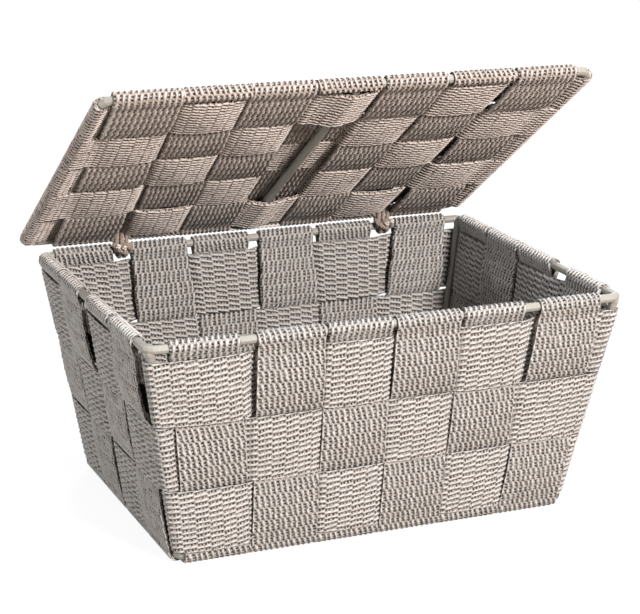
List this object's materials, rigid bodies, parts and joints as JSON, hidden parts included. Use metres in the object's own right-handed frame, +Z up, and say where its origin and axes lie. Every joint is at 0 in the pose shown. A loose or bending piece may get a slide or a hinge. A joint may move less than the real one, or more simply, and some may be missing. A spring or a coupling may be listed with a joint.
{
  "type": "knitting basket",
  "caption": "Tapered box basket woven from flat webbing over a wire frame, with a matching woven lid that swings on cord lashings at the back rim and is held open.",
  "frame": {"origin": "under the middle of the whole footprint, on the plane that the basket stands on, with the lid open as stored", "axes": "+Z is up, +X is to the right of someone who faces the front, and the front, where the lid opens, faces -Y"},
  "size_m": [0.1922, 0.1318, 0.1652],
  "materials": {
    "webbing": "matt coarse-woven synthetic webbing, taupe grey",
    "frame_wire": "satin powder coat, taupe grey",
    "lashing_cord": "matt twisted cord, dark taupe"
  },
  "bodies": {
    "basket": {"rim_rod": "frame_wire", "base_rod": "frame_wire", "corner_post_front_left": "frame_wire", "corner_post_front_right": "frame_wire", "corner_post_back_left": "frame_wire", "corner_post_back_right": "frame_wire", "front_to_back_strap_1": "webbing", "front_to_back_strap_2": "webbing", "front_to_back_strap_3": "webbing", "front_to_back_strap_4": "webbing", "front_to_back_strap_5": "webbing", "front_to_back_strap_6": "webbing", "side_to_side_strap_1": "webbing", "side_to_side_strap_2": "webbing", "side_to_side_strap_3": "webbing", "side_to_side_strap_4": "webbing", "hoop_band_1": "webbing", "hoop_band_2": "webbing", "hoop_band_3": "webbing", "hinge_tie_left": "lashing_cord", "hinge_tie_right": "lashing_cord"},
    "lid": {"lid_rim_rod": "frame_wire", "lid_cross_rod": "frame_wire", "lid_short_strap_1": "webbing", "lid_short_strap_2": "webbing", "lid_short_strap_3": "webbing", "lid_short_strap_4": "webbing", "lid_short_strap_5": "webbing", "lid_short_strap_6": "webbing", "lid_short_strap_7": "webbing", "lid_long_strap_1": "webbing", "lid_long_strap_2": "webbing", "lid_long_strap_3": "webbing", "lid_long_strap_4": "webbing", "lid_long_strap_5": "webbing"}
  },
  "joints": [
    {"name": "lid_hinge", "type": "hinge", "parent": "basket", "child": "lid", "pos_m": [-0.00175, 0.06275, 0.08908], "axis": [-1, 0, 0], "range_deg": [-35.5, 144.5]}
  ]
}
